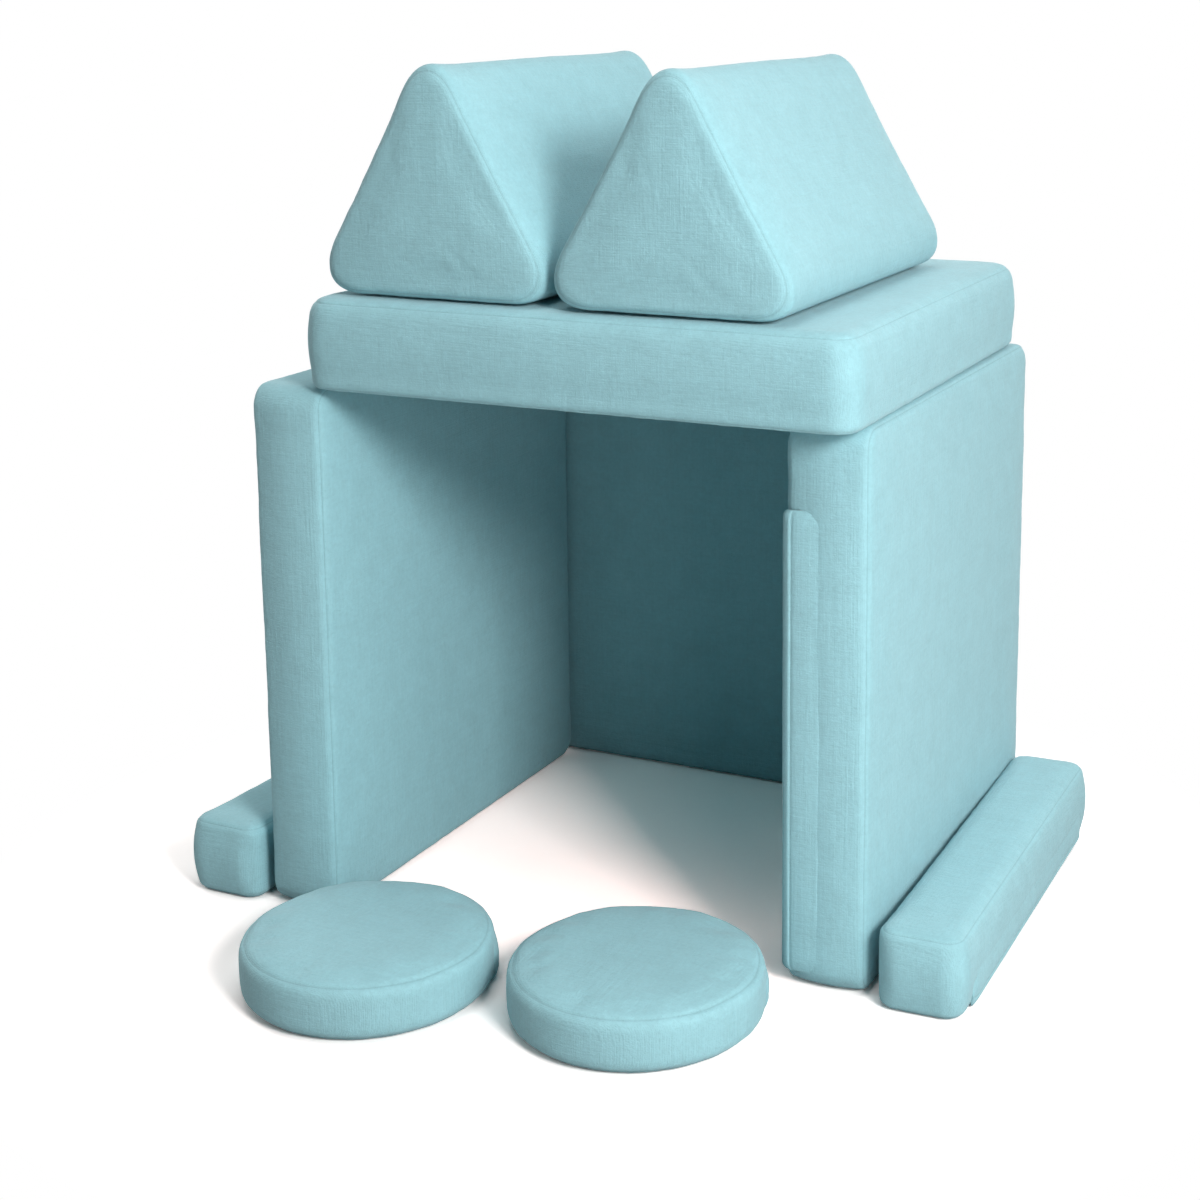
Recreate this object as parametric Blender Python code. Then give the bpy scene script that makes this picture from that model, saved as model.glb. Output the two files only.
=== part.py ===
"""Modular foam play sofa, stood up as a play house.

Three thin panels stand on edge as walls and carry a thick cushion as the roof.
Two triangular wedges lie on the roof, a bar lies along the foot of each side
wall, and two round cushions lie in front. Each of the ten blocks is a foam core
in a fabric cover, which closes with a zip and its slider.

The origin is on the floor, in the middle of the whole stack. X runs to the
right, Y runs into the house and Z runs up.
"""

import math

import bmesh
import bpy
import numpy
from mathutils import Matrix, Vector

# Clearances, in metres
CLEARANCE = 0.0003
OVERRUN = 0.002

# Cover and zip, alike on all blocks
COVER_WALL = 0.002
TAPE_WIDTH = 0.007
CHAIN_WIDTH = 0.003
CHAIN_HEIGHT = 0.0012
SLIDER_WIDTH = 0.008
SLIDER_LENGTH = 0.010
SLIDER_HEIGHT = 0.0035
ZIP_RIM_SETBACK = 0.006
ZIP_END_SETBACK = 0.010
ZIP_CORNER_SETBACK = 0.030

# Thin panels
PANEL_HEIGHT = 0.680
PANEL_WIDTH = 0.628
PANEL_THICKNESS = 0.104
PANEL_CORNER_RADIUS = 0.030
PANEL_RIM_RADIUS = 0.012
PANEL_CROWN = 0.005
FRONT_ZIP_TOP_SETBACK = 0.110

# Roof cushion, whose width is the span over the den and its seats on the side walls
ROOF_DEPTH = 0.655
ROOF_THICKNESS = 0.113
ROOF_CORNER_RADIUS = 0.035
ROOF_RIM_RADIUS = 0.014
ROOF_CROWN = 0.003

# Wedges, measured before their corners are rounded
WEDGE_BASE = 0.354
WEDGE_RISE = 0.313
WEDGE_LENGTH = 0.534
WEDGE_CORNER_RADIUS = 0.040
WEDGE_RIM_RADIUS = 0.016
WEDGE_CROWN = 0.003
WEDGE_ZIP_SETBACK = 0.067
WEDGE_ZIP_HEIGHT = 0.040

# Bars
BAR_WIDTH = 0.106
BAR_LENGTH = 0.607
BAR_HEIGHT = 0.100
BAR_CORNER_RADIUS = 0.024
BAR_RIM_RADIUS = 0.014
BAR_CROWN = 0.002

# Round cushions
ROUND_RADIUS = 0.148
ROUND_HEIGHT = 0.072
ROUND_RIM_RADIUS = 0.018
ROUND_CROWN = 0.003
# Both counts are even, so that the zip bends where the side does
ROUND_SIDES = 40
ROUND_ZIP_SIDES = 14

# Layout: how far the blocks lie over each other, and how the rest is set out
BACK_WALL_LAP = 0.052
BACK_WALL_SIDE_GAP = 0.008
ROOF_LEFT_SEAT = 0.028
ROOF_RIGHT_SEAT = 0.101
ROOF_REAR_SEAT = 0.030
RIGHT_WALL_SETBACK = 0.066
WEDGE_SETBACK = 0.019
WEDGES_OFFSET = -0.026
WEDGES_GAP = 0.005
LEFT_BAR_OFFSET = -0.021
RIGHT_BAR_OFFSET = -0.026
ROUNDS_GAP = 0.026
ROUNDS_OFFSET = 0.010
ROUNDS_TUCK = 0.016

# Turns about Z, each bar's against its wall
LEFT_WALL_TURN = math.radians(0.3)
RIGHT_WALL_TURN = math.radians(0.6)
ROOF_TURN = math.radians(1.4)
LEFT_WEDGE_TURN = math.radians(0.7)
RIGHT_WEDGE_TURN = math.radians(1.2)
LEFT_BAR_TURN = math.radians(-0.9)
RIGHT_BAR_TURN = math.radians(1.3)

# Facets of the rounded corners and rims, outside and inside. The outer corners
# take twice the inner steps, so that the inner facets stay inside the outer ones.
OUTER_CORNER_STEPS = 4
OUTER_RIM_STEPS = 2
INNER_CORNER_STEPS = 2
INNER_RIM_STEPS = 1

# Rings of a stuffed face's crown from its edge inwards: each ring's size as a
# share of the face, and its height as a share of the whole crown
CROWN_RING_SHARES = ((0.86, 0.45), (0.64, 0.80), (0.34, 1.0))

UP = Vector((0, 0, 1))
DOWN = -UP
RIGHT = Vector((1, 0, 0))
LEFT = -RIGHT
BACK = Vector((0, 1, 0))
FRONT = -BACK
LEAST_COSINE = math.cos(math.radians(15))
SMOOTH_ANGLE = math.radians(40)
CORE_INSET = COVER_WALL + CLEARANCE
RIM_ZIP_FROM_MIDDLE = PANEL_THICKNESS / 2 - PANEL_RIM_RADIUS - ZIP_RIM_SETBACK
DEN_WIDTH = PANEL_WIDTH - BACK_WALL_LAP + BACK_WALL_SIDE_GAP
DEN_RIGHT = PANEL_THICKNESS + DEN_WIDTH
ROOF_WIDTH = ROOF_LEFT_SEAT + DEN_WIDTH + ROOF_RIGHT_SEAT
BACK_WALL_X = PANEL_THICKNESS - BACK_WALL_LAP + PANEL_WIDTH / 2

# A panel or wedge lies with its width along X and its height along Y before it stands up
ACROSS_THE_HOUSE = Matrix.Rotation(math.pi / 2, 4, "X")
ALONG_THE_HOUSE = Matrix.Rotation(math.pi / 2, 4, "Z") @ ACROSS_THE_HOUSE


def clear_scene():
    for existing in list(bpy.data.objects):
        bpy.data.objects.remove(existing)


def new_collection(name, hidden=False):
    collection = bpy.data.collections.new(name)
    bpy.context.scene.collection.children.link(collection)
    collection.hide_render = hidden
    return collection


def new_material(name, colour, roughness, metallic=0.0):
    material = bpy.data.materials.new(name)
    material.use_nodes = True
    shader = material.node_tree.nodes["Principled BSDF"]
    shader.inputs["Base Color"].default_value = (*colour, 1.0)
    shader.inputs["Roughness"].default_value = roughness
    shader.inputs["Metallic"].default_value = metallic
    material.diffuse_color = (*colour, 1.0)
    return material


def new_object(name, bm, collection, material=None):
    """An object with the mesh of bm, smooth across its rounded edges."""
    bmesh.ops.recalc_face_normals(bm, faces=bm.faces)
    mesh = bpy.data.meshes.new(name)
    bm.to_mesh(mesh)
    bm.free()
    mesh.shade_smooth()
    mesh.set_sharp_from_angle(angle=SMOOTH_ANGLE)
    if material:
        mesh.materials.append(material)
    thing = bpy.data.objects.new(name, mesh)
    collection.objects.link(thing)
    return thing


def box_blank(width, depth, thickness):
    bm = bmesh.new()
    bmesh.ops.create_cube(bm, size=1.0)
    bmesh.ops.scale(bm, vec=(width, depth, thickness), verts=bm.verts)
    return bm


def wedge_inner_radius():
    """Radius of the circle that touches the three sides of a wedge's outline."""
    slope = math.hypot(WEDGE_BASE / 2, WEDGE_RISE)
    return WEDGE_BASE * WEDGE_RISE / (WEDGE_BASE + 2 * slope)


def wedge_blank(inset):
    """Triangular blank, its apex towards +Y and that circle's centre on the Z axis."""
    bm = bmesh.new()
    bmesh.ops.create_cone(bm, cap_ends=True, segments=3, radius1=1.0, radius2=1.0, depth=1.0)
    ys = [vertex.co.y for vertex in bm.verts]
    xs = [vertex.co.x for vertex in bm.verts]
    width, height = max(xs) - min(xs), max(ys) - min(ys)
    stretch = (WEDGE_BASE / width, WEDGE_RISE / height, WEDGE_LENGTH - 2 * inset)
    bmesh.ops.scale(bm, vec=stretch, verts=bm.verts)
    inner_radius = wedge_inner_radius()
    foot = min(vertex.co.y for vertex in bm.verts)
    bmesh.ops.translate(bm, vec=(0, -inner_radius - foot, 0), verts=bm.verts)
    shrink = (inner_radius - inset) / inner_radius
    bmesh.ops.scale(bm, vec=(shrink, shrink, 1.0), verts=bm.verts)
    return bm


def drum_blank(radius, thickness):
    bm = bmesh.new()
    bmesh.ops.create_cone(
        bm, cap_ends=True, segments=ROUND_SIDES, radius1=radius, radius2=radius, depth=thickness
    )
    return bm


def bevel(bm, edges, width, steps):
    bmesh.ops.bevel(
        bm, geom=edges, offset=width, offset_type="OFFSET", segments=steps, profile=0.5,
        affect="EDGES", material=-1,
    )


def round_corners(bm, sides, radius, steps):
    """Rounds the edges along Z of a blank whose outline has this many sides."""
    edges = []
    for edge in bm.edges:
        start, end = edge.verts
        if abs((end.co - start.co).normalized().z) > LEAST_COSINE:
            edges.append(edge)
    bevel(bm, edges, radius * math.tan(math.pi / sides), steps)


def round_rims(bm, radius, steps):
    """Rounds the edges round a blank's two end faces."""
    ends = [face for face in bm.faces if abs(face.normal.z) > LEAST_COSINE]
    bevel(bm, list({edge for face in ends for edge in face.edges}), radius, steps)


def crown(bm, directions, height):
    """Swells the widest face towards each direction into a low pillow of rings."""
    for direction in directions:
        facing = [face for face in bm.faces if face.normal.dot(direction) > LEAST_COSINE]
        face = max(facing, key=lambda candidate: candidate.calc_area())
        centre, normal = face.calc_center_bounds(), face.normal.copy()
        outline = [vertex.co - centre for vertex in face.verts]
        for size_share, height_share in CROWN_RING_SHARES:
            face = bmesh.ops.extrude_discrete_faces(bm, faces=[face])["faces"][0]
            for vertex, arm in zip(face.verts, outline):
                vertex.co = centre + size_share * arm + height_share * height * normal


def panel_swell(from_middle, half_span):
    """How far a panel's crowned face stands out at this distance from its middle."""
    sizes, heights = zip(*reversed(CROWN_RING_SHARES))
    reach = from_middle / (half_span - PANEL_RIM_RADIUS)
    return PANEL_CROWN * float(numpy.interp(reach, (*sizes, 1), (*heights, 0)))


class Block:
    """One foam block: its outline, radii, crowned faces and stance.

    A form is built lying down, with its thickness along Z. The stance then
    turns it, so that the block's own axes match those of the whole stack.
    """

    def __init__(self, name, blank, sides, radii, crown_height, crowned, stance=Matrix()):
        self.name = name
        self.blank = blank
        self.sides = sides
        self.corner_radius, self.rim_radius = radii
        self.crown_height = crown_height
        self.crowned = crowned
        self.stance = stance
        self.place = bpy.data.objects.new(name + "_place", None)
        bpy.context.scene.collection.objects.link(self.place)

    def form(self, inset, corner_steps, rim_steps):
        """The block's solid, with every face moved in by inset."""
        bm = self.blank(inset)
        bm.normal_update()
        if self.corner_radius:
            round_corners(bm, self.sides, self.corner_radius - inset, corner_steps)
            bm.normal_update()
        round_rims(bm, self.rim_radius - inset, rim_steps)
        bm.normal_update()
        crown(bm, self.crowned, self.crown_height)
        bmesh.ops.transform(bm, matrix=self.stance, verts=bm.verts)
        return bm

    def stand(self, x, y, z, turn):
        self.place.location = (x, y, z)
        self.place.rotation_euler.z = turn

    def add(self, suffix, bm, collection, material=None, matrix=Matrix()):
        thing = new_object(self.name + suffix, bm, collection, material)
        thing.parent = self.place
        thing.matrix_local = matrix
        return thing


def cut(thing, cutter):
    modifier = thing.modifiers.new(cutter.name, "BOOLEAN")
    modifier.operation = "DIFFERENCE"
    modifier.solver = "EXACT"
    modifier.object = cutter
    cutter.hide_render = True
    cutter.display_type = "WIRE"


def straight_bar(outline, length):
    """A bar of this section, across X and out along Z, with its length along Y."""
    bm = bmesh.new()
    face = bm.faces.new([bm.verts.new((across, -length / 2, out)) for across, out in outline])
    grown = bmesh.ops.extrude_face_region(bm, geom=[face])["geom"]
    moved = [item for item in grown if isinstance(item, bmesh.types.BMVert)]
    bmesh.ops.translate(bm, vec=(0, length, 0), verts=moved)
    return bm


def curved_bar(outline, radius, height, start, sweep, steps):
    """A bar of this section, across Z and out along the radius, bent round Z."""
    bm = bmesh.new()
    face = bm.faces.new([bm.verts.new((radius + out, 0, height + across)) for across, out in outline])
    bmesh.ops.rotate(bm, matrix=Matrix.Rotation(start, 3, "Z"), verts=bm.verts)
    bmesh.ops.spin(
        bm, geom=bm.verts[:] + bm.edges[:] + [face], axis=UP, cent=(0, 0, 0), angle=sweep, steps=steps,
        use_merge=False, use_duplicate=False,
    )
    return bm


def slot_outline():
    half = TAPE_WIDTH / 2 + CLEARANCE
    low = -COVER_WALL - OVERRUN
    return ((-half, low), (half, low), (half, OVERRUN), (-half, OVERRUN))


def zip_outline():
    """The tape fills the cover's wall, and the chain stands out along its middle."""
    tape, chain = TAPE_WIDTH / 2, CHAIN_WIDTH / 2
    return (
        (-tape, -COVER_WALL), (tape, -COVER_WALL), (tape, 0), (chain, 0),
        (chain, CHAIN_HEIGHT), (-chain, CHAIN_HEIGHT), (-chain, 0), (-tape, 0),
    )


def slider_outline():
    """A saddle over the chain."""
    half, channel = SLIDER_WIDTH / 2, CHAIN_WIDTH / 2 + CLEARANCE
    roof = CHAIN_HEIGHT + CLEARANCE
    return (
        (-half, CLEARANCE), (-channel, CLEARANCE), (-channel, roof), (channel, roof),
        (channel, CLEARANCE), (half, CLEARANCE), (half, SLIDER_HEIGHT), (-half, SLIDER_HEIGHT),
    )


def on_face(point, along, out):
    """The matrix that lays Y along a line and turns Z out of the face at point."""
    across = along.cross(out)
    return Matrix.Translation(point) @ Matrix((across, along, out)).transposed().to_4x4()


def add_straight_zip(block, cover, point, along, out, length):
    """A zip at this point of the block, its slider at the end that along leaves."""
    matrix = on_face(point, along, out)
    slot = block.add("_slot", straight_bar(slot_outline(), length + 2 * CLEARANCE), CUTTERS, None, matrix)
    cut(cover, slot)
    block.add("_zip", straight_bar(zip_outline(), length), PARTS, ZIP, matrix)
    rest = Vector((0, ZIP_END_SETBACK + SLIDER_LENGTH / 2 - length / 2, 0))
    slider_matrix = matrix @ Matrix.Translation(rest)
    block.add("_slider", straight_bar(slider_outline(), SLIDER_LENGTH), PARTS, SLIDER, slider_matrix)


def add_curved_zip(block, cover, radius, height):
    """A zip round the back of a round cushion, its slider at the right end."""
    side = math.tau / ROUND_SIDES
    sweep = ROUND_ZIP_SIDES * side
    start = math.pi / 2 - sweep / 2
    gap = CLEARANCE / radius
    slot = curved_bar(slot_outline(), radius, height, start - gap, sweep + 2 * gap, ROUND_ZIP_SIDES)
    cut(cover, block.add("_slot", slot, CUTTERS))
    block.add("_zip", curved_bar(zip_outline(), radius, height, start, sweep, ROUND_ZIP_SIDES), PARTS, ZIP)
    rest = start + ZIP_END_SETBACK / radius
    slider = curved_bar(slider_outline(), radius, height, rest, SLIDER_LENGTH / radius, 1)
    block.add("_slider", slider, PARTS, SLIDER)


def zip_length(side_length, corner_radius):
    """A zip stops short of the rounded corners at both ends of its side."""
    return side_length - 2 * (corner_radius + ZIP_CORNER_SETBACK)


def add_cover_and_core(block):
    """A cover of even wall, hollow inside, and the foam core that fills it."""
    cover = block.add("_cover", block.form(0, OUTER_CORNER_STEPS, OUTER_RIM_STEPS), PARTS, FABRIC)
    cavity = block.form(COVER_WALL, INNER_CORNER_STEPS, INNER_RIM_STEPS)
    cut(cover, block.add("_cavity", cavity, CUTTERS))
    block.add("_core", block.form(CORE_INSET, INNER_CORNER_STEPS, INNER_RIM_STEPS), PARTS, FOAM)
    return cover


def panel(name, stance):
    def blank(inset):
        return box_blank(PANEL_WIDTH - 2 * inset, PANEL_HEIGHT - 2 * inset, PANEL_THICKNESS - 2 * inset)

    return Block(name, blank, 4, (PANEL_CORNER_RADIUS, PANEL_RIM_RADIUS), PANEL_CROWN, (UP, DOWN), stance)


def left_wall():
    block = panel("left_wall", ALONG_THE_HOUSE)
    block.stand(PANEL_THICKNESS / 2, PANEL_WIDTH / 2, PANEL_HEIGHT / 2, LEFT_WALL_TURN)
    cover = add_cover_and_core(block)
    place = Vector((-RIM_ZIP_FROM_MIDDLE, PANEL_WIDTH / 2, 0))
    add_straight_zip(block, cover, place, UP, BACK, zip_length(PANEL_HEIGHT, PANEL_CORNER_RADIUS))
    return block


def right_wall():
    block = panel("right_wall", ALONG_THE_HOUSE)
    x, y = DEN_RIGHT + PANEL_THICKNESS / 2, RIGHT_WALL_SETBACK + PANEL_WIDTH / 2
    block.stand(x, y, PANEL_HEIGHT / 2, RIGHT_WALL_TURN)
    cover = add_cover_and_core(block)
    low = PANEL_CORNER_RADIUS - PANEL_HEIGHT / 2
    high = PANEL_HEIGHT / 2 - FRONT_ZIP_TOP_SETBACK
    place = Vector((-RIM_ZIP_FROM_MIDDLE, -PANEL_WIDTH / 2, (low + high) / 2))
    add_straight_zip(block, cover, place, UP, FRONT, high - low)
    return block


def back_wall_front():
    """The back wall's front stands against the left wall's rear edge."""
    turned_reach = PANEL_WIDTH * math.cos(LEFT_WALL_TURN) + PANEL_THICKNESS * math.sin(LEFT_WALL_TURN)
    left_wall_rear = (PANEL_WIDTH + turned_reach) / 2
    seat_edge = PANEL_THICKNESS - PANEL_RIM_RADIUS
    return left_wall_rear + panel_swell(BACK_WALL_X - seat_edge, PANEL_WIDTH / 2) + CLEARANCE


def back_wall():
    block = panel("back_wall", ACROSS_THE_HOUSE)
    block.stand(BACK_WALL_X, back_wall_front() + PANEL_THICKNESS / 2, PANEL_HEIGHT / 2, 0)
    cover = add_cover_and_core(block)
    place = Vector((-PANEL_WIDTH / 2, RIM_ZIP_FROM_MIDDLE, 0))
    add_straight_zip(block, cover, place, UP, LEFT, zip_length(PANEL_HEIGHT, PANEL_CORNER_RADIUS))


def roof_middle():
    """The roof lies over the side walls, with its rear edge on the back wall."""
    x = PANEL_THICKNESS - ROOF_LEFT_SEAT + ROOF_WIDTH / 2
    y = back_wall_front() + ROOF_REAR_SEAT - ROOF_DEPTH / 2
    return x, y, PANEL_HEIGHT + CLEARANCE + ROOF_THICKNESS / 2


def roof():
    def blank(inset):
        return box_blank(ROOF_WIDTH - 2 * inset, ROOF_DEPTH - 2 * inset, ROOF_THICKNESS - 2 * inset)

    block = Block("roof", blank, 4, (ROOF_CORNER_RADIUS, ROOF_RIM_RADIUS), ROOF_CROWN, (UP,))
    block.stand(*roof_middle(), ROOF_TURN)
    cover = add_cover_and_core(block)
    length = zip_length(ROOF_WIDTH, ROOF_CORNER_RADIUS)
    add_straight_zip(block, cover, Vector((0, ROOF_DEPTH / 2, 0)), RIGHT, BACK, length)


def wedge_from_pair_middle():
    """Half the distance that leaves the pair's gap between their rounded, turned feet."""
    foot_cosine = WEDGE_BASE / 2 / math.hypot(WEDGE_BASE / 2, WEDGE_RISE)
    bevel_width = WEDGE_CORNER_RADIUS * math.tan(math.pi / 3)
    rounded_off = bevel_width * (1 + foot_cosine - math.hypot(1, foot_cosine))
    closing = WEDGE_LENGTH / 2 * abs(math.sin(RIGHT_WEDGE_TURN - LEFT_WEDGE_TURN))
    return WEDGE_BASE / 2 - rounded_off + (closing + WEDGES_GAP) / 2


def wedge(name, side, turn):
    slope = Matrix.Rotation(math.atan2(WEDGE_RISE, WEDGE_BASE / 2), 3, "Z") @ BACK
    crowned = (UP, slope, slope * Vector((-1, 1, 1)))
    radii = (WEDGE_CORNER_RADIUS, WEDGE_RIM_RADIUS)
    block = Block(name, wedge_blank, 3, radii, WEDGE_CROWN, crowned, ACROSS_THE_HOUSE)
    roof_x, roof_y, roof_z = roof_middle()
    x = roof_x + WEDGES_OFFSET + side.x * wedge_from_pair_middle()
    y = roof_y - ROOF_DEPTH / 2 + WEDGE_SETBACK + WEDGE_LENGTH / 2
    foot = roof_z + ROOF_THICKNESS / 2 + ROOF_CROWN + CLEARANCE
    block.stand(x, y, foot + wedge_inner_radius(), turn)
    cover = add_cover_and_core(block)
    place = Vector((0, WEDGE_LENGTH / 2, WEDGE_ZIP_HEIGHT - wedge_inner_radius()))
    add_straight_zip(block, cover, place, RIGHT, BACK, WEDGE_BASE - 2 * WEDGE_ZIP_SETBACK)


def bar(name, wall, outer, offset, turn):
    """A bar along the foot of a wall, one end nearly touching the wall's swell."""
    def blank(inset):
        return box_blank(BAR_WIDTH - 2 * inset, BAR_LENGTH - 2 * inset, BAR_HEIGHT - 2 * inset)

    radii = (BAR_CORNER_RADIUS, BAR_RIM_RADIUS)
    block = Block(name, blank, 4, radii, BAR_CROWN, (UP, FRONT, BACK))
    swell = panel_swell(PANEL_HEIGHT / 2 - BAR_HEIGHT + BAR_RIM_RADIUS, PANEL_HEIGHT / 2)
    swing = (BAR_LENGTH / 2 - BAR_CORNER_RADIUS) * abs(math.sin(turn))
    from_wall = PANEL_THICKNESS / 2 + swell + CLEARANCE + swing + BAR_WIDTH / 2
    block.place.parent = wall.place
    block.stand(outer.x * from_wall, offset, BAR_HEIGHT / 2 - PANEL_HEIGHT / 2, turn)
    cover = add_cover_and_core(block)
    low = BAR_RIM_RADIUS + ZIP_RIM_SETBACK - BAR_HEIGHT / 2
    place = outer * BAR_WIDTH / 2 + UP * low
    add_straight_zip(block, cover, place, BACK, outer, zip_length(BAR_LENGTH, BAR_CORNER_RADIUS))


def round_cushion(name, side, wall_front):
    def blank(inset):
        return drum_blank(ROUND_RADIUS - inset, ROUND_HEIGHT - 2 * inset)

    block = Block(name, blank, ROUND_SIDES, (0, ROUND_RIM_RADIUS), ROUND_CROWN, (UP,))
    x = PANEL_THICKNESS + DEN_WIDTH / 2 + ROUNDS_OFFSET + side.x * (ROUND_RADIUS + ROUNDS_GAP / 2)
    block.stand(x, wall_front + ROUNDS_TUCK - ROUND_RADIUS, ROUND_HEIGHT / 2, 0)
    cover = add_cover_and_core(block)
    low = ROUND_RIM_RADIUS + ZIP_RIM_SETBACK - ROUND_HEIGHT / 2
    add_curved_zip(block, cover, ROUND_RADIUS, low)


def centre_on_origin():
    """Moves the whole stack, so that its footprint is centred on the origin."""
    bpy.context.view_layer.update()
    corners = [thing.matrix_world @ Vector(corner) for thing in PARTS.objects for corner in thing.bound_box]
    xs, ys, _ = zip(*corners)
    middle = Vector((min(xs) + max(xs), min(ys) + max(ys), 0)) / 2
    for thing in bpy.data.objects:
        if not thing.parent:
            thing.location -= middle


clear_scene()
PARTS = new_collection("modular_foam_play_sofa")
CUTTERS = new_collection("cutters", hidden=True)
FABRIC = new_material("teal_fabric", (0.30, 0.55, 0.58), 0.92)
FOAM = new_material("foam", (0.86, 0.82, 0.66), 0.95)
ZIP = new_material("zip_tape", (0.20, 0.42, 0.45), 0.8)
SLIDER = new_material("slider_metal", (0.55, 0.56, 0.57), 0.4, 1.0)

left_bar_wall = left_wall()
right_bar_wall = right_wall()
back_wall()
roof()
wedge("left_wedge", LEFT, LEFT_WEDGE_TURN)
wedge("right_wedge", RIGHT, RIGHT_WEDGE_TURN)
bar("left_bar", left_bar_wall, LEFT, LEFT_BAR_OFFSET, LEFT_BAR_TURN)
bar("right_bar", right_bar_wall, RIGHT, RIGHT_BAR_OFFSET, RIGHT_BAR_TURN)
round_cushion("left_round", LEFT, 0)
round_cushion("right_round", RIGHT, RIGHT_WALL_SETBACK)
centre_on_origin()
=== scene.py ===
import math

import bmesh
import bpy
from mathutils import Matrix, Vector, kdtree, noise


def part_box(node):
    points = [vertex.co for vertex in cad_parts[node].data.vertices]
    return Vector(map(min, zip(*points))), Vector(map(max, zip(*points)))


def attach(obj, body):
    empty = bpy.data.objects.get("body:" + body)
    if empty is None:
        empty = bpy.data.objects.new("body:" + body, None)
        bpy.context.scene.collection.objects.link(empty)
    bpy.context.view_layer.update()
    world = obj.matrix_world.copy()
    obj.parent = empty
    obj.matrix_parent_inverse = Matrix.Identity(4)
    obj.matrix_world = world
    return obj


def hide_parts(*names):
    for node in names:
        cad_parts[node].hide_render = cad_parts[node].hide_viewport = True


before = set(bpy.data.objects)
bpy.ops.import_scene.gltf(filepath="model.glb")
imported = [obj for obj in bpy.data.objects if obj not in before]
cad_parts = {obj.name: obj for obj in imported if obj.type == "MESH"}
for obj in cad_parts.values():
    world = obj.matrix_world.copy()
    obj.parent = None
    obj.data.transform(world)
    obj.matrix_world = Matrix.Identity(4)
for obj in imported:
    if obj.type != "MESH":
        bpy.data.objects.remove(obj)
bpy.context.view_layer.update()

# ---------------------------------------------------------------------------
# Thin panels: left wall, right wall and back wall, slabs of upholstery foam in
# zipped covers of woven linen-look cloth. Two face panels and a boxing strip round
# the edge are lockstitched inside the rims. They stand loose and hold each other up.
# ---------------------------------------------------------------------------
PANEL_SIZE = Vector((0.628, 0.680, 0.104))
PANEL_CORNER = 0.030
PANEL_RIM = 0.012
PANEL_CROWN = 0.0046
PANEL_SLACK = 0.0008
PANEL_EASE = 0.0012
PANEL_ZIP_FROM_MIDDLE = 0.034
PANEL_ZIP_LENGTH = 0.560
FRONT_ZIP_LENGTH = 0.540
FRONT_ZIP_DROP = 0.040
BOXING_BELLY = 0.0046
CLOTH_COLOUR = (0.314, 0.567, 0.618, 1.0)
SEAM_DEPTH = 0.0006
CUT_PITCH = 0.012
TINY = 1e-9
SAME_PLACE = 1e-6


def cut_across(bm, axis, places):
    """Cuts the whole mesh square to an axis at each of these places."""
    normal = Vector((axis == 0, axis == 1, axis == 2))
    for place in places:
        bmesh.ops.bisect_plane(
            bm, geom=bm.verts[:] + bm.edges[:] + bm.faces[:], dist=SAME_PLACE,
            plane_co=normal * place, plane_no=normal,
        )


def cutting_places(half, edge_steps, pitch):
    """Fine steps where the cloth turns over an edge, then even ones of about the pitch."""
    places = [half - step for step in edge_steps]
    inner = places[-1]
    count = max(1, round(2 * inner / pitch))
    places += [inner - 2 * inner * step / count for step in range(1, count)]
    return places + [step - half for step in edge_steps]


def rounded(across, up, radius):
    """Moves a point of a square corner onto the round one, both measured from its centre."""
    length = math.hypot(across, up)
    if length < TINY:
        return across, up
    reach = max(across, up) / length
    return across * reach, up * reach


def turn_over_edges(point, half, corner, rim):
    """Takes a point of the square block onto the block with round corners and rims."""
    x, y, z = point
    side_x, side_y, side_z = (math.copysign(1, value) for value in point)
    x, y, z = abs(x), abs(y), abs(z)
    over_x, over_y = x - (half.x - corner), y - (half.y - corner)
    if over_x > 0 and over_y > 0:
        over_x, over_y = rounded(over_x, over_y, corner)
        length = math.hypot(over_x, over_y)
        outward = Vector((over_x / length, over_y / length)) if length > TINY else Vector((0, 0))
        x, y = half.x - corner + over_x, half.y - corner + over_y
        inside = corner - length
    elif over_x > over_y:
        outward, inside = Vector((1, 0)), corner - over_x
    else:
        outward, inside = Vector((0, 1)), corner - over_y
    over_z = z - (half.z - rim)
    if over_z > 0 and inside < rim:
        out, up = rounded(rim - inside, over_z, rim)
        x -= outward.x * (rim - inside - out)
        y -= outward.y * (rim - inside - out)
        z = half.z - rim + up
    return Vector((side_x * x, side_y * y, side_z * z))


def square_block(size, corner, rim, pitch=CUT_PITCH, lower_rim=None):
    """A foam block with rounded corners and rims, cut into squares for sewing and stuffing.

    The seams run round the ends of the upper and the lower face.
    """
    half = size / 2
    lower_rim = lower_rim or rim
    bm = bmesh.new()
    bmesh.ops.create_cube(bm, size=1.0)
    bmesh.ops.scale(bm, vec=size, verts=bm.verts)
    rim_steps = [lower_rim * share for share in (0.3, 0.62, 1.0, 1.6)]
    if rim > rim_steps[-1]:
        rim_steps.append(rim)
    corner_steps = rim_steps + [
        corner * share for share in (0.78, 1.08) if corner * share > rim_steps[-1]
    ]
    cut_across(bm, 0, cutting_places(half.x, corner_steps, pitch))
    cut_across(bm, 1, cutting_places(half.y, corner_steps, pitch))
    cut_across(bm, 2, cutting_places(half.z, rim_steps, pitch))
    seam = bm.verts.layers.float.new("seam")
    for vertex in bm.verts:
        x, y, z = (abs(place) for place in vertex.co)
        at_edge = x > half.x - SAME_PLACE or y > half.y - SAME_PLACE
        if at_edge and z > half.z - SAME_PLACE:
            vertex[seam] = 1.0
        vertex.co = turn_over_edges(vertex.co, half, corner, rim if vertex.co.z > 0 else lower_rim)
    return bm


FULLNESS = 6.0
STUFFING_FRAMES = 20
RESTING = 1.3


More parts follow.
